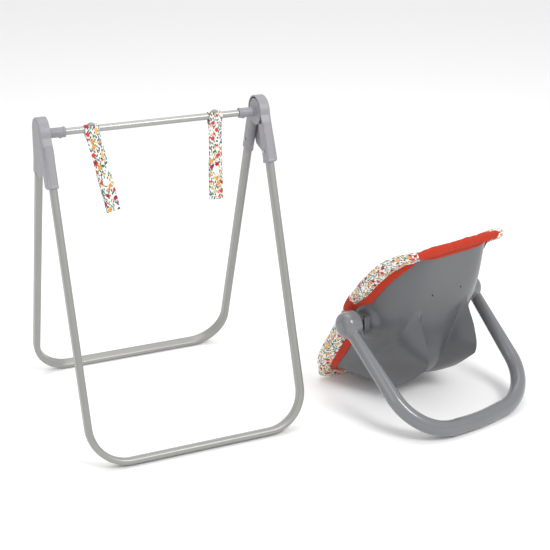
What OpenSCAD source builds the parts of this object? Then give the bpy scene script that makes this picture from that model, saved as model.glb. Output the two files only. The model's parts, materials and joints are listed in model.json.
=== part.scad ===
// Doll-size swing set: a folding A-frame with two snap loops, and a moulded
// carrier seat with a swinging handle that hangs in the loops.
// Row frame: origin on the floor at the stand's centre, +X along the crossbar,
// +Y to the rear, +Z up. The carrier stands beside the frame, on its handle.

/* [Stand] */
// Distance between the left and right leg planes, centre to centre
stand_w = 392; // [320:2:480]
// Distance between the front and rear floor bars, centre to centre
stand_d = 415; // [340:5:500]
// Height of the crossbar above the floor bars, centre to centre
pivot_rise = 530; // [430:5:640]
// Distance from the hinge axis to each leg's centre line
leg_offset = 21; // [20:0.5:26]

/* [Tubes] */
// Leg tube size across its narrow side
leg_t = 12; // [10:0.5:14]
// Leg tube size across its wide side
leg_w = 22; // [18:0.5:26.5]
// Wall of every tube
tube_wall = 1.2; // [0.8:0.1:2]
// Centre-line radius of the four floor bends
bend_r = 68; // [50:2:90]
// Crossbar diameter
bar_d = 12; // [10:0.25:14.5]

/* [Hubs] */
// Wall of the plastic sleeves around the tubes
sleeve_wall = 2.1; // [1.6:0.1:2.6]
// Radius of the arch on top of each front hub
arch_r = 29; // [27:0.5:32]
// Thickness of the front hub's outer plate
plate_t = 3; // [2.5:0.1:4]
// Length of the leg sleeves below the hinge axis
sleeve_len = 94; // [80:1:110]
// Radius of the hinge pins
pin_r = 4; // [3:0.25:5]
// Length of the crossbar sockets
socket_len = 31; // [24:1:40]
// Outer diameter of the crossbar sockets
socket_d = 17; // [16:0.5:20]

/* [Straps] */
// Distance between the two straps, centre to centre
strap_gap = 224; // [180:2:260]
// Width of the fabric straps
strap_w = 25; // [18:1:30]
// Thickness of the folded strap fabric
strap_t = 2.2; // [1.6:0.1:3]
// Distance from the crossbar's axis down to the bottom fold
strap_drop = 155; // [120:1:170]
// Distance from the crossbar's axis down to the end of the folded flap
flap_top = 81; // [60:1:88]
// Distance from the crossbar's axis down to the snap
snap_drop = 99; // [90:1:105]
// Diameter of the snap caps
snap_d = 12.4; // [10:0.2:14]
// Sideways lean of the left strap, in degrees
left_lean = 12; // [0:1:14]

/* [Carrier] */
// Widest width of the seat shell
seat_w = 240; // [200:2:290]
// Height of the seat shell as it stands
seat_h = 326; // [272:2:392]
// Depth of the seat shell as it stands
seat_d = 234; // [220:2:282]
// Wall of the seat shell
shell_t = 2.2; // [1.6:0.1:3]
// Depth of the two rocker fins under the shell
fin_depth = 58; // [40:1:60]
// Distance of each fin from the middle of the seat
fin_side = 61; // [50:1:62]
// Height of the handle pivot above the floor, on a seat 326 mm high
seat_pivot_h = 170; // [160:1:180]
// How far each pivot pad stands out from the shell's widest line
pad_stand = 1; // [1:0.5:8]
// Thickness of the seat pad
pad_t = 7; // [4:0.5:10]

/* [Cover] */
// Width of the flowered band below the rim
band_w = 27; // [22:1:34]
// Width of the red elastic skirt below the band
skirt_w = 13; // [9:1:16]

/* [Handle] */
// Distance from the head of the shell to the middle of the grip as it swings over
handle_gap = 58; // [52:1:80]
// Thickness of the round handle hubs, without their domes
hub_t = 26; // [22:0.5:30]
// How much each arm comes in by the time it reaches its corner bend
arm_taper = 7; // [0:1:12]
// Radius of the corner bends, centre line
handle_bend = 94; // [76:1:98]
// Diameter of the grip
grip_d = 29; // [24:0.5:32]
// Radius of the round handle hubs
hub_r = 25; // [22:0.5:28]

/* [Placing] */
// Carrier's place to the right of the stand's centre
carrier_x = 447; // [430:1:520]
// Carrier's place towards the rear of the stand's centre
carrier_y = -138; // [-200:1:200]
// Turn of the carrier about the vertical, in degrees
carrier_turn = 13; // [-20:1:20]

/* [Hidden] */
$fn = 96;

// Stand: the legs' lean follows from the hinge height, the spread and the offset
run_len = norm([stand_d / 2, pivot_rise]);
lean = atan2(stand_d / 2, pivot_rise) - asin(leg_offset / run_len);
pivot_u = sqrt(run_len * run_len - leg_offset * leg_offset);
foot_z = (leg_w - leg_t) / 2 * sin(lean) + leg_t / 2;
pivot_z = foot_z + pivot_rise;
side_x = stand_w / 2;

// Hubs: layers along X, measured from the leg plane outwards
fit_gap = 0.3;
run_gap = 0.05;
half_x = leg_t / 2 + sleeve_wall;
rear_half_x = half_x - fit_gap;
half_n = leg_w / 2 + sleeve_wall;
disc_r = arch_r - 5;
rim_wall = 2.6;
sleeve_top = sqrt(pow(disc_r + 1, 2) - pow(leg_offset - half_n, 2)) + 1;
tube_top = sleeve_top + 3;
tongue_drop = 77;
screw_r = 1.6;
screw_head_r = 3;
screw_head_t = 1.4;
leg_screw_drop = 74;
plate_pocket = plate_t - 1.2;
socket_x = side_x - half_x - socket_len;
bar_screw_x = socket_x + 9;
bar_end_x = side_x - half_x + 2;
collar_t = 2.2;
collar_step = 1.2;
boss_drop = socket_d / 2 + 0.6;
sleeve_round = 4;
plate_edge = 1.5;

// Straps
bar_r = bar_d / 2;
layer_gap = 1.6;
strap_start = bar_r + collar_t + fit_gap;
fold_r = strap_t + layer_gap / 2;
rivet_r = 7;
rivet_h = 3.6;
stud_r = 1.95;

// Seat: each list runs from the head end to the foot end of the shell
nominal = [234, 326];
function scaled(list) = [for (p = list) [p.x * seat_d / nominal.x, p.y * seat_h / nominal.y]];
rim_line = scaled([[-112, 324], [-78, 310], [-42, 286], [-5, 246], [28, 201],
    [54, 157], [83, 109], [107, 69], [121, 38], [122, 13]]);
keel_line = scaled([[-113, 326], [-104, 280], [-94, 236], [-85, 196], [-77, 150],
    [-69, 105], [-56, 60], [-15, 31], [50, 24], [116, 10]]);
half_share = [0.9, 0.95, 0.98, 1.01, 1.01, 1, 1, 1, 0.98, 0.94];
square = [0.35, 0.35, 0.4, 0.5, 0.68, 0.86, 1, 1, 1, 1];
fin_share = [0, 0, 0, 0.05, 0.66, 1, 0.52, 0.25, 0.1, 0];
fin_half = [6, 6, 6, 9, 20, 31, 42, 48, 48, 48];
fin_col = 0.35;
keel_len = sum_len(keel_line, 0);
side_stations = 30;
end_stations = 16;
shell_rows = 34;
shell_cols = 40;
hole_r = 1.8;
hole_side = 35;
hole_h = 230;

// Handle
arm_top = 12;
arm_thin = 18;
lug_r = 17;
lug_len = 16;
hub_dome = 6;
lug_side = seat_w / 2 + pad_stand;
hub_in = lug_side + lug_len;
hub_out = hub_in + hub_t;
arm_side = hub_out - 8;
arm_end_side = arm_side - arm_taper;
pivot_h = seat_pivot_h * seat_h / nominal.y;
handle_len = norm(keel_line[0] - [0, pivot_h]) + handle_gap;
handle_drop = asin((pivot_h - grip_d / 2) / handle_len);

function sum_len(list, i) = i >= len(list) - 1 ? 0
    : norm(list[i + 1] - list[i]) + sum_len(list, i + 1);

// Smooth curve through a list of numbers or points, p from 0 to 1
function blend4(a, b, c, d, f) = 0.5 * (2 * b + (c - a) * f
    + (2 * a - 5 * b + 4 * c - d) * f * f + (3 * b - a - 3 * c + d) * f * f * f);
function along(list, p) = let (
    last = len(list) - 1,
    q = min(max(p, 0), 1) * last,
    i = min(floor(q), last - 1))
    blend4(list[max(i - 1, 0)], list[i], list[i + 1], list[min(i + 2, last)], q - i);

// Seat shell surface: t runs from head to foot, v from the left rim to the right rim
function fin_rise(side, t) = let (d = abs(side - fin_side) / along(fin_half, t))
    d >= 1 ? 0 : pow(1 - d, 1.05 - 0.1 * t) * fin_depth * max(along(fin_share, t), 0);
function turned(t, v) = let (
    a = pow(v, 1 / along(square, t)),
    b = pow(1 - v, 1 / along(square, t)))
    90 * a / (a + b);
function sideways(t, v) = pow(sin(turned(t, v)), along(square, t));
function inwards(t, v) = pow(cos(turned(t, v)), along(square, t));
function side_at(t, v) = let (
    half = seat_w / 2 * along(half_share, t),
    flat = 1 - min(1, norm(along(keel_line, t) - along(rim_line, t)) / half))
    half * (flat * v + (1 - flat) * sideways(t, v));
// The column that runs along a fin's crest, found by halving
function crest_v(t, lo, hi, n) = let (mid = (lo + hi) / 2) n == 0 ? mid
    : side_at(t, mid) < fin_side ? crest_v(t, mid, hi, n - 1) : crest_v(t, lo, mid, n - 1);
function warp(c, crest) = let (a = abs(c), v = a < fin_col ? a / fin_col * crest
    : crest + (a - fin_col) / (1 - fin_col) * (1 - crest)) c < 0 ? -v : v;
function pad_pull(a, b) = let (r = norm([a, b - pivot_h]))
    r < 19 ? 1 : r > 42 ? 0 : 0.5 + 0.5 * cos(180 * (r - 19) / 23);
function shell_point(t, v, fins) = let (
    rim = along(rim_line, t),
    keel = along(keel_line, t),
    half = seat_w / 2 * along(half_share, t),
    side = side_at(t, abs(v)),
    tangent = along(keel_line, t + 0.01) - along(keel_line, t - 0.01),
    out = [tangent.y, -tangent.x] / norm(tangent),
    p = rim + (keel - rim) * inwards(t, abs(v)) + out * fins * fin_rise(side, t),
    wide = side < half / 2 ? side : side + max(lug_side - side, 0) * pad_pull(p.x, p.y))
    [v < 0 ? -wide : wide, p.x, p.y];
function unit(a) = a / norm(a);
function shell_normal(t, v, fins) = let (h = 0.012)
    unit(cross(shell_point(min(t + h, 1), v, fins) - shell_point(max(t - h, 0), v, fins),
        shell_point(t, min(v + h, 1), fins) - shell_point(t, max(v - h, -1), fins)));
function shell_offset(t, v, fins, out) = shell_point(t, v, fins)
    + out * shell_normal(t, v, fins);

// Rim stations, once round the shell: left side, foot, right side, head
stations = concat(
    [for (j = [0 : side_stations - 1]) [j / side_stations, -1]],
    [for (j = [0 : end_stations - 1]) [1, 2 * j / end_stations - 1]],
    [for (j = [0 : side_stations - 1]) [1 - j / side_stations, 1]],
    [for (j = [0 : end_stations - 1]) [0, 1 - 2 * j / end_stations]]);
function half_arc(t) = 90 * PI / 180 * norm([seat_w / 2 * along(half_share, t),
    norm(along(keel_line, t) - along(rim_line, t))]) / sqrt(2);
// The cover is cut away over each pivot lug
function notch(st) = abs(st[1]) < 1 ? 0 : let (d = abs(st[0] - 0.47) / 0.14)
    d >= 1 ? 0 : 0.5 + 0.5 * cos(180 * d);
function inset_point(st, down, out) = let (
    dt = max(down, 0) / keel_len,
    t = dt + (1 - 2 * dt) * st[0],
    v = st[1] * (1 - max(down, 0) / half_arc(t)),
    n = shell_normal(t, v, 0),
    base = shell_point(t, v, 0) + out * n)
    down >= 0 ? base : base - down * rim_way(st);
function rim_way(st) = unit(shell_point(st[0], st[1], 0)
    - shell_point(st[0] + (0.5 - st[0]) * 0.05, st[1] * 0.95, 0));
function band_here(st) = band_w * (1 - 0.58 * notch(st));
function skirt_here(st) = skirt_w * (1 - 0.6 * notch(st));

// Solid skinned over a list of rings
module sweep(rings, closed = false) {
    n = len(rings[0]);
    m = len(rings);
    sides = [for (i = [0 : m - (closed ? 1 : 2)], j = [0 : n - 1]) let (k = (i + 1) % m)
        each [[i * n + j, i * n + (j + 1) % n, k * n + (j + 1) % n],
            [i * n + j, k * n + (j + 1) % n, k * n + j]]];
    caps = closed ? [] : [[for (j = [n - 1 : -1 : 0]) j],
        [for (j = [0 : n - 1]) (m - 1) * n + j]];
    polyhedron([for (r = rings) each r], concat(sides, caps), convexity = 8);
}

// Solid sheet over part of the seat surface, between two offsets
module seat_sheet(t0, t1, v1, out_near, out_far, fins, rows, cols) {
    rings = [for (i = [0 : rows]) let (
        t = t0 + (t1 - t0) * i / rows,
        crest = crest_v(t, 0, 1, 12),
        row = [for (j = [0 : cols]) warp(v1 * (2 * j / cols - 1), crest)])
        concat([for (j = [0 : cols]) shell_offset(t, row[j], fins, out_near)],
            [for (j = [cols : -1 : 0]) shell_offset(t, row[j], fins, out_far)])];
    n = 2 * cols + 2;
    sides = [for (i = [0 : rows - 1], j = [0 : n - 1]) let (a = i * n + j, b = i * n + (j + 1) % n)
        each [[a, b, b + n], [a, b + n, a + n]]];
    function strip(row) = [for (j = [0 : cols - 1]) let (a = row * n + j, b = row * n + n - 1 - j)
        each [[a, b, b - 1], [a, b - 1, a + 1]]];
    function flipped(faces) = [for (f = faces) [f[2], f[1], f[0]]];
    polyhedron([for (r = rings) each r], concat(sides, strip(0), flipped(strip(rows))),
        convexity = 8);
}

module place_carrier() {
    translate([carrier_x, carrier_y, 0]) rotate([0, 0, carrier_turn]) children();
}

// Leg frames: x sideways, y up the leg, z out of the frame's plane
module place_front() {
    translate([0, -stand_d / 2, foot_z]) rotate([90 - lean, 0, 0]) children();
}
module place_rear() { mirror([0, 1, 0]) place_front() children(); }
module on_side(side) { mirror([side < 0 ? 1 : 0, 0, 0]) children(); }
module at_hinge() { translate([0, 0, pivot_z]) children(); }

module stadium(x, y) {
    square([x, y - x], center = true);
    for (k = [-1, 1]) translate([0, k * (y - x) / 2]) circle(d = x);
}
module rounded(x, y, r) {
    square([x, y - 2 * r], center = true);
    square([x - 2 * r, y], center = true);
    for (i = [-1, 1], j = [-1, 1]) translate([i * (x / 2 - r), j * (y / 2 - r)]) circle(r = r);
}
module leg_ring() {
    difference() {
        stadium(leg_t, leg_w);
        stadium(leg_t - 2 * tube_wall, leg_w - 2 * tube_wall);
    }
}

// One bent tube: a floor bar, two bends and two legs
module leg_u() {
    leg_run = pivot_u - tube_top - bend_r;
    bar_run = stand_w - 2 * bend_r;
    translate([-bar_run / 2, 0, 0]) rotate([90, 0, 90]) linear_extrude(bar_run) leg_ring();
    for (side = [-1, 1]) on_side(side) {
        translate([side_x - bend_r, bend_r, 0]) rotate([0, 0, -90])
            rotate_extrude(angle = 90) translate([bend_r, 0]) leg_ring();
        translate([side_x, bend_r, 0]) rotate([-90, 0, 0]) linear_extrude(leg_run) leg_ring();
    }
}
module leg_screw_holes() {
    for (side = [-1, 1]) on_side(side)
        translate([side_x - half_x - 1, pivot_u - leg_screw_drop, 0]) rotate([0, 90, 0])
            cylinder(r = screw_r, h = half_x + 1);
}
module leg_screws() {
    for (side = [-1, 1]) on_side(side) translate([side_x, pivot_u - leg_screw_drop, 0])
        rotate([0, 90, 0]) {
            translate([0, 0, -half_x]) cylinder(r = screw_r, h = half_x - 1);
            translate([0, 0, -half_x - screw_head_t]) cylinder(r = screw_head_r, h = screw_head_t);
        }
}
module rear_leg_tube() {
    color([0.74, 0.74, 0.72]) place_rear() difference() {
        leg_u();
        leg_screw_holes();
    }
}
module front_leg_tube() {
    color([0.74, 0.74, 0.72]) place_front() difference() {
        leg_u();
        leg_screw_holes();
    }
}
module rear_leg_screws() { color([0.5, 0.5, 0.52]) place_rear() leg_screws(); }
module front_leg_screws() { color([0.5, 0.5, 0.52]) place_front() leg_screws(); }

// Sleeve round a leg: outer block with a socket for the tube
module sleeve_body(half, up, round) {
    translate([side_x, pivot_u - sleeve_len, 0]) rotate([-90, 0, 0])
        linear_extrude(sleeve_len - up) rounded(2 * half, 2 * half_n, round);
}
module sleeve_socket() {
    translate([side_x, pivot_u - sleeve_len - 1, 0]) rotate([-90, 0, 0])
        linear_extrude(sleeve_len - tube_top + 1) stadium(leg_t, leg_w);
}

// Side outlines drawn in the leg's own frame: x is out of the leg plane, y is up the leg
module leg_plane(x0, thick) {
    translate([x0, 0, 0]) rotate([0, 90, 0]) linear_extrude(thick) rotate([0, 0, 90])
        mirror([1, 0, 0]) rotate([0, 0, -90]) children();
}

module crossbar() {
    color([0.8, 0.8, 0.79]) at_hinge() rotate([0, 90, 0]) difference() {
        cylinder(r = bar_r, h = 2 * bar_end_x, center = true);
        cylinder(r = bar_r - tube_wall, h = stand_w, center = true);
        for (side = [-1, 1]) translate([0, 0, side * bar_screw_x]) rotate([0, 90, 0])
            cylinder(r = screw_r, h = bar_d);
    }
}
module crossbar_screws() {
    color([0.5, 0.5, 0.52]) at_hinge() for (side = [-1, 1])
        translate([side * bar_screw_x, 0, 0]) rotate([180, 0, 0]) {
            cylinder(r = screw_r, h = boss_drop);
            translate([0, 0, boss_drop]) cylinder(r = screw_head_r - 0.4, h = 1);
        }
}

// Rear hub: crossbar socket, hinge disc and leg sleeve in one moulding
module rear_hub() {
    difference() {
        union() {
            at_hinge() {
                translate([socket_x, 0, 0]) rotate([0, 90, 0])
                    cylinder(d = socket_d, h = side_x - socket_x);
                translate([socket_x, 0, 0]) rotate([0, 90, 0]) cylinder(d = socket_d + 1.4, h = 4);
                translate([bar_screw_x, 0, -boss_drop]) cylinder(r = 4, h = socket_d / 2);
                translate([side_x - rear_half_x, 0, 0]) rotate([0, 90, 0])
                    cylinder(r = disc_r, h = 2 * rear_half_x);
            }
            place_rear() {
                sleeve_body(rear_half_x, sleeve_top, rear_half_x - 1);
                translate([side_x - rear_half_x, pivot_u - sleeve_top - 1, -half_n + 1.5])
                    cube([2 * rear_half_x, sleeve_top - 6, disc_r + half_n - leg_offset - 2]);
                translate([side_x, pivot_u - sleeve_top - 8, 0]) rotate([-90, 0, 0])
                    linear_extrude(4) rounded(2 * rear_half_x, 2 * half_n + collar_step, rear_half_x - 1);
            }
        }
        place_rear() {
            sleeve_socket();
            leg_screw_holes();
        }
        at_hinge() {
            translate([socket_x - 1, 0, 0]) rotate([0, 90, 0])
                cylinder(r = bar_r, h = bar_end_x - socket_x + 1);
            translate([bar_end_x, 0, 0]) rotate([0, 90, 0])
                cylinder(r = pin_r, h = 3 * half_x);
            translate([bar_screw_x, 0, -socket_d]) cylinder(r = screw_r, h = socket_d);
        }
    }
}
module rear_hub_left() { color([0.66, 0.66, 0.71]) on_side(-1) rear_hub(); }
module rear_hub_right() { color([0.66, 0.66, 0.71]) rear_hub(); }

module hinge_pin() {
    translate([bar_end_x, 0, pivot_z]) rotate([0, 90, 0])
        cylinder(r = pin_r, h = 2 * half_x - 2 + plate_pocket - fit_gap);
}
module hinge_pin_left() { color([0.6, 0.6, 0.62]) on_side(-1) hinge_pin(); }
module hinge_pin_right() { color([0.6, 0.6, 0.62]) hinge_pin(); }

// Outline of the front hub's plate, as seen from the side: x to the rear, y up from the hinge
module plate_outline(inset) {
    near = (leg_offset + half_n) / cos(lean) - inset;
    far = (leg_offset - half_n) / cos(lean) + inset;
    function leg_pt(n) = let (u = inset + 2 - sleeve_len)
        [u * sin(lean) - (n + leg_offset) * cos(lean), u * cos(lean) + (n + leg_offset) * sin(lean)];
    slope = tan(lean);
    tip = -tongue_drop + inset;
    circle(r = arch_r - inset);
    polygon([[-arch_r + inset, 0], leg_pt(half_n - inset), leg_pt(inset - half_n),
        [-tongue_drop * 0.82 * slope - far, -tongue_drop * 0.82], [2, tip], [near - 5, tip + 8],
        [near, tip + 18], [arch_r - inset, 0]]);
}
module front_hub() {
    difference() {
        union() {
            at_hinge() {
                translate([side_x + half_x, 0, 0]) rotate([90, 0, 90]) {
                    linear_extrude(plate_t - plate_edge) plate_outline(0);
                    linear_extrude(plate_t) plate_outline(plate_edge);
                }
                translate([side_x - half_x, 0, 0]) rotate([90, 0, 90]) linear_extrude(2 * half_x)
                    difference() {
                        circle(r = arch_r);
                        circle(r = arch_r - rim_wall);
                        translate([-100, -200]) square([200, 200]);
                    }
                translate([side_x - half_x, 0, 0]) rotate([90, 0, 90]) linear_extrude(2 * half_x)
                    front_wall();
            }
            place_front() sleeve_body(half_x, sleeve_top, sleeve_round);
            place_front() translate([side_x, pivot_u - sleeve_len, 0]) rotate([-90, 0, 0])
                linear_extrude(4) rounded(2 * half_x + 0.8, 2 * half_n + 0.8, sleeve_round);
        }
        place_front() {
            sleeve_socket();
            leg_screw_holes();
        }
        translate([side_x + half_x - 1, 0, pivot_z]) rotate([0, 90, 0])
            cylinder(r = pin_r + run_gap, h = plate_pocket + 1);
    }
}
// Front wall of the hub, from the arch down to the sleeve
module front_wall() {
    outer = (leg_offset + half_n) / cos(lean);
    top_y = -sleeve_top * cos(lean) - 6;
    shift = top_y * tan(lean);
    polygon([[-arch_r, 0], [-arch_r + rim_wall, 0], [shift - outer + rim_wall + 2, top_y],
        [shift - outer, top_y]]);
}
module front_hub_left() { color([0.66, 0.66, 0.71]) on_side(-1) front_hub(); }
module front_hub_right() { color([0.66, 0.66, 0.71]) front_hub(); }

// Straps: drawn at the crossbar's axis, hanging down, front face towards -Y
module place_strap(side) {
    translate([side * strap_gap / 2, 0, pivot_z]) rotate([0, side < 0 ? -left_lean : 0, 0])
        children();
}
module strap_collar() {
    rotate([0, 90, 0]) difference() {
        cylinder(r = bar_r + collar_t, h = strap_w, center = true);
        cylinder(r = bar_r, h = strap_w + 2, center = true);
    }
}
module strap_collar_left() {
    color([0.93, 0.9, 0.86]) translate([-strap_gap / 2, 0, pivot_z]) strap_collar();
}
module strap_collar_right() {
    color([0.93, 0.9, 0.86]) translate([strap_gap / 2, 0, pivot_z]) strap_collar();
}
module strap_rivet() {
    seat_z = sqrt(pow(bar_r + collar_t, 2) - pow(rivet_r / 2, 2));
    difference() {
        translate([0, 0, seat_z]) rotate_extrude() intersection() {
            translate([0, -(rivet_r * rivet_r - rivet_h * rivet_h) / (2 * rivet_h)])
                circle(r = (rivet_r * rivet_r + rivet_h * rivet_h) / (2 * rivet_h));
            square([rivet_r, rivet_h]);
        }
        rotate([0, 90, 0]) cylinder(r = bar_r + collar_t, h = 4 * rivet_r, center = true);
    }
}
module strap_rivet_left() {
    color([0.62, 0.62, 0.66]) translate([-strap_gap / 2, 0, pivot_z]) strap_rivet();
}
module strap_rivet_right() {
    color([0.62, 0.62, 0.66]) translate([strap_gap / 2, 0, pivot_z]) strap_rivet();
}
fold_z = -strap_drop + fold_r;
module strap_front(lean_deg) {
    start = (strap_start + strap_w / 2 * sin(lean_deg)) / cos(lean_deg);
    difference() {
        union() {
            translate([-strap_w / 2, -fold_r, fold_z])
                cube([strap_w, strap_t, -start - fold_z]);
            translate([0, 0, fold_z]) rotate([0, 90, 0])
                cylinder(r = fold_r, h = strap_w, center = true);
        }
        translate([0, 0, fold_z]) rotate([0, 90, 0])
            cylinder(r = layer_gap / 2, h = strap_w + 2, center = true);
        translate([-strap_w, -layer_gap / 2, fold_z]) cube([2 * strap_w, 2 * fold_r, strap_w]);
    }
}
module strap_left() { color([0.93, 0.9, 0.86]) place_strap(-1) strap_front(left_lean); }
module strap_right() { color([0.93, 0.9, 0.86]) place_strap(1) strap_front(0); }
module strap_flap() {
    translate([-strap_w / 2, layer_gap / 2, fold_z + fit_gap])
        cube([strap_w, strap_t, -flap_top - fold_z - fit_gap]);
}
module strap_flap_left() { color([0.93, 0.9, 0.86]) place_strap(-1) strap_flap(); }
module strap_flap_right() { color([0.93, 0.9, 0.86]) place_strap(1) strap_flap(); }

// Snap cap on the strap's front, with its socket behind
module snap_cap() {
    cap_h = 1.8;
    cap_r = snap_d / 2;
    translate([0, -fold_r, -snap_drop]) rotate([90, 0, 0]) rotate_extrude() intersection() {
        translate([0, -(cap_r * cap_r - cap_h * cap_h) / (2 * cap_h)])
            circle(r = (cap_r * cap_r + cap_h * cap_h) / (2 * cap_h));
        square([cap_r, cap_h]);
    }
    translate([0, -layer_gap / 2, -snap_drop]) rotate([-90, 0, 0]) difference() {
        cylinder(r = cap_r - 1, h = layer_gap - 0.2);
        translate([0, 0, -1]) cylinder(r = stud_r + run_gap, h = layer_gap + 2);
    }
}
module snap_cap_left() { color("white") place_strap(-1) snap_cap(); }
module snap_cap_right() { color("white") place_strap(1) snap_cap(); }
module snap_stud() {
    translate([0, layer_gap / 2, -snap_drop]) rotate([90, 0, 0])
        cylinder(r = stud_r, h = layer_gap - 0.3);
    translate([0, layer_gap / 2 + strap_t, -snap_drop]) rotate([-90, 0, 0])
        cylinder(r = snap_d / 2 - 1.2, h = 1);
}
module snap_stud_left() { color("white") place_strap(-1) snap_stud(); }
module snap_stud_right() { color("white") place_strap(1) snap_stud(); }

// Carrier
module seat_shell() {
    color([0.55, 0.55, 0.57]) place_carrier() difference() {
        seat_sheet(0, 1, 1, 0, -shell_t, 1, shell_rows, shell_cols);
        for (side = [-1, 1]) translate([side * hole_side, 0, hole_h * seat_h / nominal.y])
            rotate([90, 0, 0]) cylinder(r = hole_r, h = seat_d);
    }
}
module seat_pad() {
    color([0.82, 0.22, 0.13]) place_carrier()
        seat_sheet(0.055, 0.955, 0.86, -shell_t - fit_gap, -shell_t - pad_t, 0, 26, 24);
}
// The band's section: distance down from the rim, distance out from the shell
function band_section(w) = [[w, 0.4], [w, 3], [w * 0.5, 6], [4, 7.5], [-5, 5.5], [-9, -1.1],
    [-5, -7], [4, -9], [14, -8.2], [14, -shell_t - 0.4], [-1.2, -shell_t - 0.4], [-1.2, 0.4],
    [w * 0.5, 0.4]];
function band_ring(st) = [for (q = band_section(band_here(st))) inset_point(st, q[0], q[1])];
head_first = len(stations) - end_stations + 1;
head_last = len(stations) - 1;
module cover_band() {
    color([0.93, 0.9, 0.86]) difference() {
        place_carrier() sweep([for (k = [0 : len(stations) - (head_last - head_first) - 1])
            band_ring(stations[(head_last + k) % len(stations)])]);
        lug_clearance();
    }
}
module head_trim() {
    color([0.82, 0.22, 0.13]) place_carrier()
        sweep([for (k = [head_first : head_last]) band_ring(stations[k])]);
}
module cover_skirt() {
    color([0.82, 0.22, 0.13]) difference() {
        place_carrier() sweep([for (st = stations) let (
            top = band_here(st), low = top + skirt_here(st))
            [for (q = [[top, 0.4], [top, 2.4], [low, 2.4], [low, 0.4]]) inset_point(st, q[0], q[1])]],
            closed = true);
        lug_clearance();
    }
}

module on_seat_side(side) {
    place_carrier() translate([0, 0, pivot_h]) mirror([side < 0 ? 1 : 0, 0, 0])
        rotate([0, 90, 0]) children();
}
// The cover is cut round where the lugs pass through it
module lug_clearance() {
    for (side = [-1, 1]) on_seat_side(side) translate([0, 0, lug_side - lug_len])
        cylinder(r = lug_r + fit_gap, h = 2 * lug_len);
}
module pivot_lug() {
    difference() {
        translate([0, 0, lug_side - 1]) cylinder(r = lug_r, h = hub_in - lug_side + 1 - fit_gap);
        cylinder(r = pin_r, h = 2 * arm_side);
    }
}
module pivot_lug_left() { color([0.55, 0.55, 0.57]) on_seat_side(-1) pivot_lug(); }
module pivot_lug_right() { color([0.55, 0.55, 0.57]) on_seat_side(1) pivot_lug(); }
module pivot_pin() {
    translate([0, 0, lug_side - 1]) cylinder(r = pin_r, h = hub_out - 2 - lug_side);
}
module pivot_pin_left() { color([0.6, 0.6, 0.62]) on_seat_side(-1) pivot_pin(); }
module pivot_pin_right() { color([0.6, 0.6, 0.62]) on_seat_side(1) pivot_pin(); }

module handle_hub() {
    dome_r = (hub_r * hub_r + hub_dome * hub_dome) / (2 * hub_dome);
    difference() {
        union() {
            translate([0, 0, hub_in]) cylinder(r = hub_r, h = hub_out - hub_in);
            translate([0, 0, hub_out]) rotate_extrude() intersection() {
                translate([0, hub_dome - dome_r]) circle(r = dome_r);
                square([hub_r, hub_dome]);
            }
        }
        cylinder(r = pin_r + run_gap, h = hub_out - 2);
    }
}
module handle_hub_left() { color([0.58, 0.58, 0.6]) on_seat_side(-1) handle_hub(); }
module handle_hub_right() { color([0.58, 0.58, 0.6]) on_seat_side(1) handle_hub(); }

// Handle centre line in its own plane: [sideways, away from the pivot], one half
bend_steps = 12;
arm_steps = 7;
grip_steps = 5;
grip_bow = 3;
bend_side = arm_end_side - handle_bend;
bend_far = handle_len - handle_bend - grip_bow;
half_line = concat(
    [for (k = [0 : arm_steps - 1]) let (f = k / arm_steps)
        [arm_side + (arm_end_side - arm_side) * f, arm_top + (bend_far - arm_top) * f]],
    [for (k = [0 : bend_steps - 1]) let (a = 90 * k / bend_steps)
        [bend_side + handle_bend * cos(a), bend_far + handle_bend * sin(a)]],
    [for (k = [0 : grip_steps - 1]) let (f = k / grip_steps)
        [bend_side * (1 - f), bend_far + handle_bend + grip_bow * sin(90 * f)]]);
handle_line = concat(half_line, [[0, handle_len]],
    [for (k = [len(half_line) - 1 : -1 : 0]) [-half_line[k].x, half_line[k].y]]);
function handle_ring(k) = let (
    p = handle_line[k],
    d = unit(handle_line[min(k + 1, len(handle_line) - 1)] - handle_line[max(k - 1, 0)]),
    f = min(1, (p.y - arm_top) / bend_far),
    thin = (arm_thin + (grip_d - arm_thin) * f) / 2)
    [for (a = [0 : 18 : 342]) [p.x + d.y * thin * cos(a), -p.y + d.x * thin * cos(a),
        grip_d / 2 * sin(a)]];
module handle_bow() {
    color([0.58, 0.58, 0.6]) place_carrier() translate([0, 0, pivot_h])
        rotate([handle_drop, 0, 0])
            sweep([for (k = [len(handle_line) - 1 : -1 : 0]) handle_ring(k)]);
}

rear_leg_tube();
crossbar();
rear_hub_left();
rear_hub_right();
hinge_pin_left();
hinge_pin_right();
rear_leg_screws();
crossbar_screws();
strap_collar_left();
strap_collar_right();
strap_rivet_left();
strap_rivet_right();
front_leg_tube();
front_hub_left();
front_hub_right();
front_leg_screws();
strap_left();
strap_right();
snap_cap_left();
snap_cap_right();
strap_flap_left();
strap_flap_right();
snap_stud_left();
snap_stud_right();
seat_shell();
pivot_lug_left();
pivot_lug_right();
pivot_pin_left();
pivot_pin_right();
seat_pad();
cover_band();
head_trim();
cover_skirt();
handle_bow();
handle_hub_left();
handle_hub_right();
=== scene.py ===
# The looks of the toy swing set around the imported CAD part, in the part's own frame, in metres.
import json
import math

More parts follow.
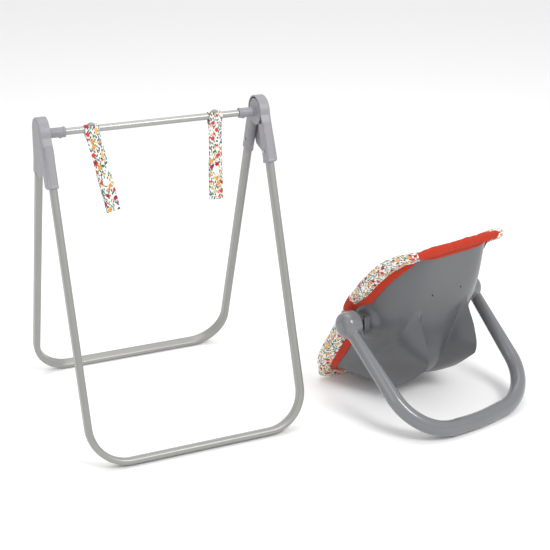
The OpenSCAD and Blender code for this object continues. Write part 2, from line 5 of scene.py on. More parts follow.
import bmesh
import bpy
import numpy as np
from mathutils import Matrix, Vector


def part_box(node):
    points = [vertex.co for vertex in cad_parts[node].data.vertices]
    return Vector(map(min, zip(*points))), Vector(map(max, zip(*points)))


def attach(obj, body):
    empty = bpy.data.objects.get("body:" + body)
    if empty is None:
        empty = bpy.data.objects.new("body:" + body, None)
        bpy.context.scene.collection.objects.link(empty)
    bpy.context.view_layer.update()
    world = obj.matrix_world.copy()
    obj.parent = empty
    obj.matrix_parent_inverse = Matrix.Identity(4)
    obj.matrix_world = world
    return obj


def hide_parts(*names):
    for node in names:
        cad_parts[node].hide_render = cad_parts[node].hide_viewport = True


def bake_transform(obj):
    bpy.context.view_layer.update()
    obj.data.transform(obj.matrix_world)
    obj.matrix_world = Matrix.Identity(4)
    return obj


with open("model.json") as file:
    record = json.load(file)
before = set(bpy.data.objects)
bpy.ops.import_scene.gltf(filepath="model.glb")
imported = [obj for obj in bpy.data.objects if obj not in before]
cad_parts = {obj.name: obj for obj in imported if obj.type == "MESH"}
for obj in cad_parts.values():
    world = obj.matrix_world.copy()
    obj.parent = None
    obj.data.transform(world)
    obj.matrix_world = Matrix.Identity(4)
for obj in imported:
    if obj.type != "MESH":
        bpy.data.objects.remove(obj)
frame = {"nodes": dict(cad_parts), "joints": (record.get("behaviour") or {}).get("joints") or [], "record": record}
nodes = frame["nodes"]
joints = {j["name"]: j for j in frame["joints"]}
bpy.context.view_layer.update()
MM = 0.001
rng = np.random.default_rng(7)

# ---------------------------------------------------------------- camera
camera_data = bpy.data.cameras.new("camera")
camera_data.lens = 80.1
camera_data.sensor_width = 36.0
camera = bpy.data.objects.new("camera", camera_data)
camera.location = (-0.6332, -1.9769, 1.0821)
camera.rotation_euler = (math.radians(68.11), 0, math.radians(-23.55))
bpy.context.scene.collection.objects.link(camera)
bpy.context.scene.camera = camera


# ---------------------------------------------------------------- materials
class Nodes:
    """One material, and short ways to add and link its shader nodes."""

    def __init__(self, name):
        self.material = bpy.data.materials.new(name)
        self.material.use_nodes = True
        self.tree = self.material.node_tree
        self.shader = self.tree.nodes["Principled BSDF"]

    def add(self, kind, **settings):
        made = self.tree.nodes.new(kind)
        for key, value in settings.items():
            setattr(made, key, value)
        return made

    def put(self, target, value):
        if hasattr(value, "is_output") or hasattr(value, "links"):
            self.tree.links.new(value, target)
        else:
            target.default_value = value

    def maths(self, operation, a, b):
        made = self.add("ShaderNodeMath", operation=operation)
        self.put(made.inputs[0], a)
        self.put(made.inputs[1], b)
        return made.outputs[0]

    def mix(self, factor, a, b):
        made = self.add("ShaderNodeMix", data_type="RGBA")
        self.put(made.inputs[0], factor)
        self.put(made.inputs[6], a)
        self.put(made.inputs[7], b)
        return made.outputs[2]

    def noise(self, vector, scale, detail=3.0, roughness=0.55):
        made = self.add("ShaderNodeTexNoise")
        self.put(made.inputs["Vector"], vector)
        self.put(made.inputs["Scale"], scale)
        self.put(made.inputs["Detail"], detail)
        self.put(made.inputs["Roughness"], roughness)
        return made.outputs["Fac"]

    def bump(self, height, strength, distance):
        made = self.add("ShaderNodeBump")
        self.put(made.inputs["Height"], height)
        made.inputs["Strength"].default_value = strength
        made.inputs["Distance"].default_value = distance
        return made.outputs["Normal"]

    def object_coords(self):
        return self.add("ShaderNodeTexCoord").outputs["Object"]

    def uv_coords(self):
        return self.add("ShaderNodeUVMap", uv_map="cloth").outputs["UV"]

    def surface(self, **values):
        for key, value in values.items():
            self.put(self.shader.inputs[key.replace("_", " ")], value)


def rgba(r, g, b):
    return (r, g, b, 1.0)


def moulded(name, colour, rough, grain, coat=0.0, metal=0.0, mottle=0.06):
    """Moulded plastic or painted tube: a little mottled, with a fine grain."""
    n = Nodes(name)
    at = n.object_coords()
    n.surface(Metallic=metal, Coat_Weight=coat, Coat_Roughness=0.12)
    cloud = n.noise(at, 14.0)
    dark = tuple(c * (1 - mottle) for c in colour)
    light = tuple(min(1, c * (1 + mottle)) for c in colour)
    n.put(n.shader.inputs["Base Color"], n.mix(cloud, rgba(*dark), rgba(*light)))
    rougher = n.maths("MULTIPLY_ADD", n.noise(at, 60.0), 0.14)
    rougher.node.inputs[2].default_value = rough - 0.07
    n.put(n.shader.inputs["Roughness"], rougher)
    n.put(n.shader.inputs["Normal"], n.bump(n.noise(at, 900.0, 2.0), grain, 0.0004))
    return n.material


def plain_cloth(name, colour):
    """Plain woven cotton, from the cloth's own coordinates."""
    n = Nodes(name)
    uv = n.uv_coords()
    n.surface(Roughness=0.78, Sheen_Weight=0.06, Sheen_Roughness=0.4, Specular_IOR_Level=0.25)
    worn = tuple(c * 0.8 for c in colour)
    n.put(n.shader.inputs["Base Color"], n.mix(n.noise(uv, 90.0, 4.0), rgba(*worn), rgba(*colour)))
    weave = n.noise(uv, 2200.0, 1.0)
    soft = n.noise(uv, 160.0, 3.0)
    height = n.maths("ADD", n.maths("MULTIPLY", weave, 0.35), soft)
    n.put(n.shader.inputs["Normal"], n.bump(height, 0.35, 0.0006))
    return n.material


def flower_cloth(name):
    """White cotton with red and orange flowers and small green and navy leaves."""
    n = Nodes(name)
    uv = n.uv_coords()
    n.surface(Roughness=0.85, Sheen_Weight=0.08, Sheen_Roughness=0.5, Specular_IOR_Level=0.2)
    wobble = n.add("ShaderNodeTexNoise")
    n.put(wobble.inputs["Vector"], uv)
    n.put(wobble.inputs["Scale"], 240.0)
    shift = n.add("ShaderNodeVectorMath", operation="MULTIPLY_ADD")
    n.put(shift.inputs[0], wobble.outputs["Color"])
    shift.inputs[1].default_value = (0.0035, 0.0035, 0)
    n.put(shift.inputs[2], uv)
    uv = shift.outputs[0]

    def spots(turn, stretch, cell, radius, share, offset):
        """Where the spots of one layer are, and a random number for each spot."""
        spin = n.add("ShaderNodeMapping")
        n.put(spin.inputs["Vector"], uv)
        spin.inputs["Location"].default_value = (offset, offset * 0.7, 0)
        spin.inputs["Rotation"].default_value = (0, 0, math.radians(turn))
        spin.inputs["Scale"].default_value = (1, stretch, 1)
        cells = n.add("ShaderNodeTexVoronoi", voronoi_dimensions="2D")
        n.put(cells.inputs["Vector"], spin.outputs[0])
        cells.inputs["Scale"].default_value = 1 / cell
        cells.inputs["Randomness"].default_value = 0.8
        pick = n.add("ShaderNodeSeparateColor")
        n.put(pick.inputs[0], cells.outputs["Color"])
        inside = n.maths("LESS_THAN", cells.outputs["Distance"], radius)
        kept = n.maths("LESS_THAN", pick.outputs[0], share)
        return n.maths("MULTIPLY", inside, kept), pick.outputs[1], cells.outputs["Distance"]

    def choice(value, colours):
        ramp = n.add("ShaderNodeValToRGB")
        ramp.color_ramp.interpolation = "CONSTANT"
        for i, colour in enumerate(colours):
            if i > 1:
                ramp.color_ramp.elements.new(i / len(colours))
            ramp.color_ramp.elements[i].position = i / len(colours)
            ramp.color_ramp.elements[i].color = rgba(*colour)
        n.put(ramp.inputs[0], value)
        return ramp.outputs[0]

    green, sage, navy = (0.035, 0.13, 0.06), (0.2, 0.3, 0.2), (0.03, 0.06, 0.14)
    colour = rgba(0.8, 0.79, 0.76)
    for turn, offset, share in ((28, 0.0, 0.5), (-40, 0.31, 0.5), (80, 0.77, 0.36)):
        where, which, _ = spots(turn, 2.3, 0.0064, 0.34, share, offset)
        colour = n.mix(where, colour, choice(which, [green, navy, sage, green]))
    where, which, _ = spots(10, 1.0, 0.0066, 0.31, 0.3, 1.3)
    small = choice(which, [(0.85, 0.2, 0.08), (0.9, 0.48, 0.12), (0.62, 0.04, 0.06), (0.9, 0.6, 0.3)])
    colour = n.mix(where, colour, small)
    where, which, far = spots(-17, 1.15, 0.0125, 0.31, 0.5, 2.1)
    petals = choice(which, [(0.5, 0.02, 0.04), (0.85, 0.42, 0.08), (0.7, 0.07, 0.05), (0.9, 0.55, 0.2)])
    shade = n.maths("PINGPONG", far, 0.1)
    petals = n.mix(n.maths("MULTIPLY", shade, 4.5), n.mix(0.35, petals, rgba(0.2, 0.01, 0.02)), petals)
    colour = n.mix(where, colour, petals)
    n.put(n.shader.inputs["Base Color"], colour)
    n.put(n.shader.inputs["Normal"], n.bump(n.noise(uv, 1500.0, 2.0), 0.25, 0.0004))
    return n.material


leg_paint = moulded("leg_paint", (0.29, 0.29, 0.275), 0.34, 0.12, metal=0.35)
bar_metal = moulded("bar_metal", (0.34, 0.34, 0.33), 0.3, 0.1, metal=0.4)
hub_plastic = moulded("hub_plastic", (0.255, 0.25, 0.27), 0.42, 0.3)
steel = moulded("steel", (0.45, 0.45, 0.47), 0.3, 0.1, metal=1.0)
rivet_plastic = moulded("rivet_plastic", (0.24, 0.24, 0.26), 0.3, 0.1)
snap_plastic = moulded("snap_plastic", (0.86, 0.86, 0.84), 0.22, 0.05, coat=0.4, mottle=0.02)
shell_plastic = moulded("shell_plastic", (0.09, 0.092, 0.099), 0.33, 0.1, coat=0.2)
handle_plastic = moulded("handle_plastic", (0.16, 0.163, 0.173), 0.24, 0.06, coat=0.4)
red_fabric = plain_cloth("red_fabric", (0.46, 0.034, 0.0125))
flower_fabric = flower_cloth("flower_fabric")
slot_material = {
    "leg_paint": leg_paint, "bar_metal": bar_metal, "hub_plastic": hub_plastic, "steel": steel,
    "flower_fabric": flower_fabric, "rivet_plastic": rivet_plastic, "snap_plastic": snap_plastic,
    "shell_plastic": shell_plastic, "handle_plastic": handle_plastic, "red_fabric": red_fabric}


def finish_piece(obj, material, body=None):
    """Material, smooth shading and the body that the piece moves with."""
    obj.data.materials.clear()
    obj.data.materials.append(material)
    obj.data.shade_smooth()
    if body:
        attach(obj, body)


# the kept CAD nodes take the materials of their own slots
for row in frame["record"]["subparts"]:
    for held in nodes[row["node"]].material_slots:
        held.material = slot_material[row["material_slot"]]


# ---------------------------------------------------------------- mesh helpers
def mesh_object(name, points, faces, uvs=None):
    """points are in metres; uvs holds one (u, v) in metres for each point or for each face corner."""
    data = bpy.data.meshes.new(name)
    data.from_pydata([tuple(p) for p in points], [], faces)
    if uvs is not None:
        layer = data.uv_layers.new(name="cloth")
        flat = uvs if len(uvs) == len(data.loops) else [uvs[l.vertex_index] for l in data.loops]
        layer.data.foreach_set("uv", np.array(flat, float).ravel())
    data.validate()
    obj = bpy.data.objects.new(name, data)
    bpy.context.scene.collection.objects.link(obj)
    return obj


def with_modifiers(obj, *rows):
    """Adds modifiers as (kind, settings), then applies them to the mesh."""
    for kind, settings in rows:
        m = obj.modifiers.new(kind.lower(), kind)
        for key, value in settings.items():
            setattr(m, key, value)
    apply_all(obj)


def apply_all(obj):
    """Swaps the object's mesh for the one that its modifiers make."""
    bpy.context.view_layer.update()
    ready = obj.evaluated_get(bpy.context.evaluated_depsgraph_get())
    made = bpy.data.meshes.new_from_object(ready, preserve_all_data_layers=True,
                                           depsgraph=bpy.context.evaluated_depsgraph_get())
    obj.modifiers.clear()
    obj.data = made


def outward(obj):
    """Turns every face to look outwards."""
    work = bmesh.new()
    work.from_mesh(obj.data)
    bmesh.ops.recalc_face_normals(work, faces=work.faces)
    work.to_mesh(obj.data)
    work.free()


def join(name, parts):
    """One mesh object out of several, at the origin."""
    whole = bmesh.new()
    for part in parts:
        whole.from_mesh(part.data)
        bpy.data.objects.remove(part)
    data = bpy.data.meshes.new(name)
    whole.to_mesh(data)
    whole.free()
    obj = bpy.data.objects.new(name, data)
    bpy.context.scene.collection.objects.link(obj)
    return obj


def tube_mesh(name, rings, uvs=None):
    """A capped skin over rings (rows x around x 3); uvs is a run along the rows and one round a ring."""
    m, k = len(rings), len(rings[0])
    points = np.asarray(rings, float).reshape(-1, 3)
    faces, corners = [], []
    for i in range(m - 1):
        for j in range(k):
            a, b = i * k + j, i * k + (j + 1) % k
            faces.append((a, b, b + k, a + k))
            if uvs is not None:
                u0, u1 = uvs[0][i], uvs[0][i + 1]
                v0, v1 = uvs[1][j], uvs[1][j + 1]
                corners += [(u0, v0), (u0, v1), (u1, v1), (u1, v0)]
    faces.append(tuple(range(k - 1, -1, -1)))
    faces.append(tuple((m - 1) * k + j for j in range(k)))
    if uvs is not None:
        corners += [(uvs[0][0], uvs[1][j]) for j in range(k - 1, -1, -1)]
        corners += [(uvs[0][m - 1], uvs[1][j]) for j in range(k)]
    return mesh_object(name, points, faces, corners or None)


def drape(obj, pinned, cap, pressure=4.0, stiff=14.0, frames=20):
    """Blows closed cloth up with cloth simulation; no point moves more than cap, and pinned ones stay."""
    before = np.array([v.co for v in obj.data.vertices])
    m = obj.modifiers.new("cloth", "CLOTH")
    s = m.settings
    s.quality = 5
    s.mass = 0.2
    s.tension_stiffness = s.compression_stiffness = s.shear_stiffness = stiff
    s.bending_stiffness = 0.4
    s.use_pressure = True
    s.uniform_pressure_force = pressure
    s.effector_weights.gravity = 0
    group = obj.vertex_groups.new(name="pinned")
    group.add(pinned, 1.0, "REPLACE")
    s.vertex_group_mass = "pinned"
    m.point_cache.frame_start = 1
    m.point_cache.frame_end = frames
    scene = bpy.context.scene
    for f in range(1, frames + 1):
        scene.frame_set(f)
    apply_all(obj)
    scene.frame_set(1)
    step = np.array([v.co for v in obj.data.vertices]) - before
    far = np.linalg.norm(step, axis=1)
    step *= np.minimum(1, cap / np.maximum(far, 1e-9))[:, None]
    obj.data.vertices.foreach_set("co", (before + step).ravel())
    obj.data.update()


# ---------------------------------------------------------------- stand hubs
HUB_VOXEL = 0.9 * MM
HUB_PASSES = 5


def hub_moulding(end, side):
    """A CAD hub remeshed and relaxed, so that its edges are rounded like a moulding."""
    whole = bmesh.new()
    whole.from_mesh(nodes[f"{end}_hub_{side}"].data)
    bmesh.ops.remove_doubles(whole, verts=whole.verts, dist=1e-6)
    data = bpy.data.meshes.new(f"{end}_hub_moulding_{side}")
    whole.to_mesh(data)
    whole.free()
    obj = bpy.data.objects.new(f"{end}_hub_moulding_{side}", data)
    bpy.context.scene.collection.objects.link(obj)
    with_modifiers(obj, ("REMESH", {"mode": "VOXEL", "voxel_size": HUB_VOXEL}),
                   ("SMOOTH", {"factor": 0.5, "iterations": HUB_PASSES}))
    finish_piece(obj, hub_plastic, f"{end}_frame")
    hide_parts(f"{end}_hub_{side}")


for side in ("left", "right"):
    hub_moulding("rear", side)
    hub_moulding("front", side)

# ---------------------------------------------------------------- crossbar
bar_lo, bar_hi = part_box("crossbar")
bar_mid = (bar_lo + bar_hi) / 2
bar_r = (bar_hi.z - bar_lo.z) / 2
bar_angle = np.linspace(0, 2 * math.pi, 72, endpoint=False)
bar_rings = [[(x, bar_mid.y + bar_r * math.cos(a), bar_mid.z + bar_r * math.sin(a)) for a in bar_angle]
             for x in np.linspace(bar_lo.x, bar_hi.x, 30)]
bar = tube_mesh("crossbar_tube", bar_rings)
finish_piece(bar, bar_metal, "rear_frame")
bar.data.set_sharp_from_angle(angle=math.radians(40))
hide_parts("crossbar")

# ---------------------------------------------------------------- carrier surfaces
# In mm, in the carrier's own frame: side, forward and up. Each list runs from the head to the foot.
swing = joints["handle_swing"]
centre = Vector(swing["pos_m"])
turn_axis = Vector(swing["axis"])
COS, SIN = -turn_axis.x, -turn_axis.y
PIVOT_H = centre.z / MM
SEAT_W, SHELL_T, FIN_DEPTH, FIN_SIDE = 240.0, 2.2, 58.0, 61.0
LUG_SIDE = SEAT_W / 2 + 1
LUG_FLAT, LUG_BLEND = 19.0, 42.0
rim_line = np.array([[-112, 324], [-78, 310], [-42, 286], [-5, 246], [28, 201],
                     [54, 157], [83, 109], [107, 69], [121, 38], [122, 13]], float)
keel_line = np.array([[-113, 326], [-104, 280], [-94, 236], [-85, 196], [-77, 150],
                      [-69, 105], [-56, 60], [-15, 31], [50, 24], [116, 10]], float)
half_share = np.array([0.9, 0.95, 0.98, 1.01, 1.01, 1, 1, 1, 0.98, 0.94])
square = np.array([0.35, 0.35, 0.4, 0.5, 0.68, 0.86, 1, 1, 1, 1])
fin_share = np.array([0, 0, 0, 0.05, 0.66, 1, 0.52, 0.25, 0.1, 0])
fin_half = np.array([6, 6, 6, 9, 20, 31, 42, 48, 48, 48], float)
KEEL_LEN = np.linalg.norm(np.diff(keel_line, axis=0), axis=1).sum()
FIN_COL = 0.35
HOLE_SIDE, HOLE_R, HOLE_H = 35.0, 1.9, 230.0


def to_row(p):
    """Carrier points (side, forward, up) in mm to the row frame in metres."""
    p = np.asarray(p, float)
    return np.stack([centre.x + (p[..., 0] * COS - p[..., 1] * SIN) * MM,
                     centre.y + (p[..., 0] * SIN + p[..., 1] * COS) * MM, p[..., 2] * MM], -1)


def along(values, p):
    """A smooth curve through a list of numbers or points, for p from 0 to 1."""
    last = len(values) - 1
    q = np.clip(p, 0, 1) * last
    i = np.minimum(np.floor(q).astype(int), last - 1)
    f = q - i
    a, b = values[np.maximum(i - 1, 0)], values[i]
    c, d = values[i + 1], values[np.minimum(i + 2, last)]
    if values.ndim > 1:
        f = f[..., None]
    return 0.5 * (2 * b + (c - a) * f + (2 * a - 5 * b + 4 * c - d) * f ** 2
                  + (3 * b - a - 3 * c + d) * f ** 3)


def corner(t, v):
    """How far a section has gone sideways and inwards at v: an arc with squared-up shoulders."""
    p = along(square, t)
    a, b = np.abs(v) ** (1 / p), (1 - np.abs(v)) ** (1 / p)
    w = np.pi / 2 * a / (a + b)
    return np.sin(w) ** p, np.maximum(np.cos(w), 0) ** p


def side_at(t, v):
    """How far out the shell is at t along it, for v from 0 at the keel to 1 at the rim."""
    half = SEAT_W / 2 * along(half_share, t)
    gap = np.linalg.norm(along(keel_line, t) - along(rim_line, t), axis=-1)
    flat = 1 - np.minimum(1, gap / half)
    return half * (flat * v + (1 - flat) * corner(t, v)[0])


def shell_point(t, v, fins):
    """The shell's outside, with its fins when fins is 1; it swells out flat to each pivot pad."""
    t, v = np.broadcast_arrays(np.asarray(t, float), np.asarray(v, float))
    rim, keel = along(rim_line, t), along(keel_line, t)
    half = SEAT_W / 2 * along(half_share, t)
    side = side_at(t, np.abs(v))
    tangent = along(keel_line, t + 0.01) - along(keel_line, t - 0.01)
    out = np.stack([tangent[..., 1], -tangent[..., 0]], -1)
    out /= np.linalg.norm(tangent, axis=-1, keepdims=True)
    d = np.minimum(np.abs(side - FIN_SIDE) / along(fin_half, t), 1)
    rise = (1 - d) ** (1.05 - 0.1 * t) * FIN_DEPTH * np.maximum(along(fin_share, t), 0)
    p = rim + (keel - rim) * corner(t, v)[1][..., None] + out * (fins * rise)[..., None]
    r = np.hypot(p[..., 0], p[..., 1] - PIVOT_H)
    fade = np.clip((r - LUG_FLAT) / (LUG_BLEND - LUG_FLAT), 0, 1)
    pull = 0.5 + 0.5 * np.cos(np.pi * fade)
    wide = np.where(side < half / 2, side, side + np.maximum(LUG_SIDE - side, 0) * pull)
    return np.stack([np.where(v < 0, -wide, wide), p[..., 0], p[..., 1]], -1)


def shell_normal(t, v, fins):
    h = 0.012
    dt = shell_point(np.minimum(t + h, 1), v, fins) - shell_point(np.maximum(t - h, 0), v, fins)
    dv = shell_point(t, np.minimum(v + h, 1), fins) - shell_point(t, np.maximum(v - h, -1), fins)
    n = np.cross(dt, dv)
    return n / np.maximum(np.linalg.norm(n, axis=-1, keepdims=True), 1e-9)


def shell_offset(t, v, fins, out):
    return shell_point(t, v, fins) + np.asarray(out)[..., None] * shell_normal(t, v, fins)


def crest_warp(t, v):
    """Moves the columns so that one of them runs along each fin's crest."""
    lo, hi = np.zeros_like(t), np.ones_like(t)
    for _ in range(14):
        mid = (lo + hi) / 2
        under = side_at(t, mid) < FIN_SIDE
        lo, hi = np.where(under, mid, lo), np.where(under, hi, mid)
    crest = (lo + hi) / 2
    a = np.abs(v)
    w = np.where(a < FIN_COL, a / FIN_COL * crest, crest + (a - FIN_COL) / (1 - FIN_COL) * (1 - crest))
    return np.sign(v) * w


def sheet_solid(name, t0, t1, v0, v1, near, far, fins, rows, cols):
    """A closed solid over part of the shell, between two offsets; the near side's points come first."""
    t = np.linspace(t0, t1, rows + 1)[:, None] * np.ones(cols + 1)
    v = np.ones(rows + 1)[:, None] * np.linspace(v0, v1, cols + 1)
    v = crest_warp(t, v) if fins else v
    top, low = (to_row(shell_offset(t, v, fins, o)) for o in (near, far))
    u = np.linalg.norm(np.diff(top[:, cols // 2], axis=0), axis=1)
    u = np.concatenate([[0], np.cumsum(u)])
    w = np.concatenate([[0], np.cumsum(np.linalg.norm(np.diff(top[rows // 2], axis=0), axis=1))])
    count = (rows + 1) * (cols + 1)
    points = np.concatenate([top.reshape(-1, 3), low.reshape(-1, 3)])
    uv = [(w[j], u[i]) for _ in (0, 1) for i in range(rows + 1) for j in range(cols + 1)]
    faces = []
    for i in range(rows):
        for j in range(cols):
            a = i * (cols + 1) + j
            b, c, d = a + 1, a + cols + 2, a + cols + 1
            faces.append((a, d, c, b))
            faces.append((a + count, b + count, c + count, d + count))
    edge = list(range(cols)) + [i * (cols + 1) + cols for i in range(rows)]
    edge += [rows * (cols + 1) + j for j in range(cols, 0, -1)]
    edge += [i * (cols + 1) for i in range(rows, 0, -1)]
    for a, b in zip(edge, edge[1:] + edge[:1]):
        faces.append((a, b, b + count, a + count))
    return mesh_object(name, points, faces, uv)


shell = sheet_solid("seat_shell_moulding", 0, 1, -1, 1, 0.0, -SHELL_T, 1, 180, 200)
drills = []
for hole_x in (-HOLE_SIDE, HOLE_SIDE):
    rings = [[(hole_x + HOLE_R * math.cos(a), y, HOLE_H + HOLE_R * math.sin(a))
              for a in np.linspace(0, 2 * math.pi, 24, endpoint=False)] for y in (-130, -20)]
    drills.append(tube_mesh("drill", to_row(rings)))
drill = join("drill", drills)
outward(drill)
outward(shell)
with_modifiers(shell, ("BOOLEAN", {"object": drill, "operation": "DIFFERENCE", "solver": "EXACT"}))
bpy.data.objects.remove(drill)
finish_piece(shell, shell_plastic, "carrier")
shell.data.set_sharp_from_angle(angle=math.radians(24))
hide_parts("seat_shell")

# ---------------------------------------------------------------- handle
HUB_IN, HUB_OUT, KNOB_R = LUG_SIDE + 16, LUG_SIDE + 42, 25.0
GRIP_D, ARM_THIN, HANDLE_GAP = 29.0, 18.0, 58.0
arm_side = HUB_OUT - 8
arm_end = arm_side - 7
handle_len = float(np.linalg.norm(keel_line[0] - [0, PIVOT_H])) + HANDLE_GAP
drop = math.asin((PIVOT_H - GRIP_D / 2) / handle_len)
bend, bow, arm_top = 94.0, 3.0, 12.0
bend_side, bend_far = arm_end - bend, handle_len - bend - bow
half = [(arm_side + (arm_end - arm_side) * f, arm_top + (bend_far - arm_top) * f)
        for f in np.linspace(0, 1, 40, endpoint=False)]
half += [(bend_side + bend * math.cos(a), bend_far + bend * math.sin(a))
         for a in np.linspace(0, math.pi / 2, 48, endpoint=False)]
half += [(bend_side * (1 - f), bend_far + bend + bow * math.sin(f * math.pi / 2))
         for f in np.linspace(0, 1, 14, endpoint=False)]
line = np.array(half + [(0, handle_len)] + [(-x, y) for x, y in reversed(half)])
way = np.gradient(line, axis=0)
way /= np.linalg.norm(way, axis=1, keepdims=True)
ring_angle = np.linspace(0, 2 * math.pi, 40, endpoint=False)
share = np.clip((line[:, 1] - arm_top) / bend_far, 0, 1)
thin = (ARM_THIN + (GRIP_D - ARM_THIN) * share) / 2
round_off = 1 + 0.02 * np.cos(4 * ring_angle)
rings = np.stack([
    line[:, None, 0] + way[:, None, 1] * thin[:, None] * np.cos(ring_angle) * round_off,
    -line[:, None, 1] + way[:, None, 0] * thin[:, None] * np.cos(ring_angle) * round_off,
    np.ones(len(line))[:, None] * GRIP_D / 2 * np.sin(ring_angle) * round_off], -1)
flat_y, flat_z = rings[..., 1].copy(), rings[..., 2].copy()
rings[..., 1] = flat_y * math.cos(drop) - flat_z * math.sin(drop)
rings[..., 2] = flat_y * math.sin(drop) + flat_z * math.cos(drop) + PIVOT_H
parts = [tube_mesh("bow", to_row(rings)[:, ::-1])]
profile = [(5, HUB_OUT - 2), (5, HUB_IN), (KNOB_R - 1.4, HUB_IN), (KNOB_R - 0.4, HUB_IN + 0.8),
           (KNOB_R, HUB_IN + 2.4)]
profile += [(KNOB_R * math.cos(a) ** 0.62, HUB_OUT - 7 + 15.5 * math.sin(a))
            for a in np.linspace(0, math.pi / 2, 15)[:-1]]
profile += [(0.4, HUB_OUT + 8.5)]
knob_angle = np.linspace(0, 2 * math.pi, 72, endpoint=False)
for sign in (-1, 1):
    knob = [[(sign * x, r * math.cos(a), PIVOT_H + r * math.sin(a) * sign) for a in knob_angle]
            for r, x in profile]
    parts.append(tube_mesh("knob", to_row(knob)))
handle = join("handle_moulding", parts)
with_modifiers(handle, ("REMESH", {"mode": "VOXEL", "voxel_size": 1.3 * MM}),
               ("SMOOTH", {"factor": 0.5, "iterations": 6}))
finish_piece(handle, handle_plastic, "handle")
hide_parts("handle_bow", "handle_hub_left", "handle_hub_right")

# a moulded plate on the shell behind each handle hub, with a stiffening lip down its rear edge
plate_line = [(-23, 15), (-22, 17), (8, 17), (10, 15), (10, -15), (8, -17), (-22, -17), (-23, -15)]
lip_line = [(-23, 15), (-22, 17), (-20.6, 17), (-20, 15), (-20, -15), (-20.6, -17), (-22, -17), (-23, -15)]
for side, sign in (("left", -1), ("right", 1)):
    plates = []
    for near, far, outline in ((LUG_SIDE - 2, LUG_SIDE + 5, plate_line),
                               (LUG_SIDE + 4, LUG_SIDE + 12, lip_line)):
        rows = [[(sign * x, y, PIVOT_H + z) for y, z in outline[::sign]] for x in (near, far)]
        plates.append(tube_mesh("plate", to_row(rows)))
    plate = join(f"pivot_plate_{side}", plates)
    outward(plate)
    with_modifiers(plate, ("BEVEL", {"width": 0.5 * MM, "segments": 3, "limit_method": "ANGLE"}))
    finish_piece(plate, shell_plastic, "carrier")

# ---------------------------------------------------------------- carrier cover
BAND_W, SKIRT_W = 27.0, 13.0
PIVOT_T, NOTCH_T = 0.47, 0.14
SIDE_N, END_N = 84, 56
# rim stations (t, v), once round the shell: left side, foot, right side, head
stations = np.array(
    [(j / SIDE_N, -1) for j in range(SIDE_N)] + [(1, 2 * j / END_N - 1) for j in range(END_N)]
    + [(1 - j / SIDE_N, 1) for j in range(SIDE_N)] + [(0, 1 - 2 * j / END_N) for j in range(END_N)])


def notch(st):
    """How much of the cover is cut away at each station, from 0 to 1 at a pivot."""
    d = np.minimum(np.abs(st[:, 0] - PIVOT_T) / NOTCH_T, 1)
    return np.where(np.abs(st[:, 1]) < 1, 0, 0.5 + 0.5 * np.cos(np.pi * d))


def inset_points(st, down, out):
    """Points so far down from the rim and so far out from the shell (stations x section)."""
    t0, v0 = st[:, :1], st[:, 1:]
    deep = np.maximum(down, 0)
    dt = deep / KEEL_LEN
    t = dt + (1 - 2 * dt) * t0
    gap = np.linalg.norm(along(keel_line, t) - along(rim_line, t), axis=-1)
    arc = math.pi / 2 * np.hypot(SEAT_W / 2 * along(half_share, t), gap) / math.sqrt(2)
    v = v0 * (1 - deep / arc)
    base = shell_point(t, v, 0) + out[..., None] * shell_normal(t, v, 0)
    way = shell_point(t0, v0, 0) - shell_point(t0 + (0.5 - t0) * 0.05, v0 * 0.95, 0)
    way /= np.linalg.norm(way, axis=-1, keepdims=True)
    return np.where((down >= 0)[..., None], base, base - down[..., None] * way)


def soften(rings, passes):
    """Rounds the cover's corners by averaging neighbouring rings round the whole rim."""
    for _ in range(passes):
        rings = (np.roll(rings, 1, 0) + 2 * rings + np.roll(rings, -1, 0)) / 4
    return rings


# The section of the padded roll: each point is a share of the band's width, a distance out from the
# shell and a distance down past that share. It goes down the outside, round the rim and down the inside.
cut = notch(stations)
at_head = (stations[:, 0] == 0) & (np.abs(stations[:, 1]) < 0.95)
edge_w = BAND_W * np.where(at_head, 0.62, 1 - 0.58 * cut)
puff = 1 - 0.45 * cut
section = [(1.0, 0.7, 0), (0.99, 3.0, 0), (0.84, 6.2, 0), (0.64, 8.8, 0), (0.42, 10.4, 0),
           (0.2, 10.6, 0), (0, 9.6, -2), (0, 7.0, -6.5), (0, 3.2, -9.5), (0, -1.2, -10.2),
           (0, -5.4, -8.6), (0, -8.6, -4.5),
           (0.03, -10, 0), (0.18, -10.4, 0), (0.32, -9.4, 0), (0.44, -7.4, 0), (0.48, -4.6, 0),
           (0.46, -2.8, 0), (0.2, -2.7, 0), (0, -2.4, -1.2), (0, -1.0, -2.2), (0, 0.5, -1.3),
           (0.2, 0.6, 0), (0.6, 0.6, 0)]
down = np.array([[w * s[0] + s[2] for s in section] for w in edge_w])
out = np.array([[s[1] * p if s[1] > 3 or s[1] < -4 else s[1] for s in section] for p in puff])
cover = soften(inset_points(stations, down, out), 6)
head_cover = soften(inset_points(stations, down, out * 0.92), 6)
ring_step = np.linalg.norm(np.diff(cover[:, 6], axis=0, append=cover[:1, 6]), axis=1) * MM
around = np.concatenate([[0], np.cumsum(ring_step)])
section_step = np.linalg.norm(np.diff(cover[20], axis=0, append=cover[20][:1]), axis=1) * MM
across = np.concatenate([[0], np.cumsum(section_step)])
CORNER_N = round(END_N / 16)
HEAD_FIRST = 2 * SIDE_N + END_N + CORNER_N
HEAD_LAST = len(stations) - CORNER_N
SOFT_POINTS = 17


